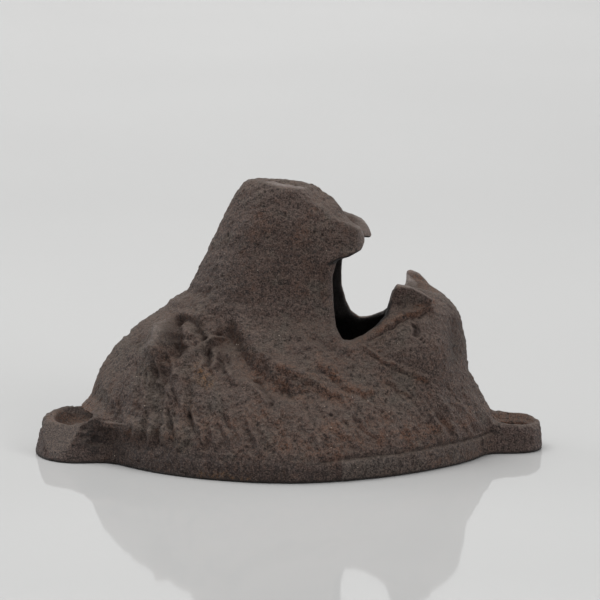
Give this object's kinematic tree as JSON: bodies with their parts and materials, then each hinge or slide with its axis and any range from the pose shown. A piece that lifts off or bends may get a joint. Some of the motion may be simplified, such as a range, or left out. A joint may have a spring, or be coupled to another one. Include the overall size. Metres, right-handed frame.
{
  "type": "wall-mounted bottle opener",
  "caption": "Hollow cast-iron bear's head with open jaws for lifting bottle caps, held to a wall by screws through its crown and chin lugs.",
  "frame": {"origin": "on the wall plane, halfway along and across the head's back opening", "axes": "+Z out of the wall along the snout, +X down the wall from the crown lug to the chin lug, +Y across the head"},
  "size_m": [0.115, 0.0686, 0.09],
  "materials": {
    "iron": "rough sand-cast surface with light rust",
    "screw_steel": "dull aged steel"
  },
  "bodies": {
    "root": {"head_casting": "iron", "crown_screw": "screw_steel", "chin_screw": "screw_steel"}
  },
  "joints": []
}
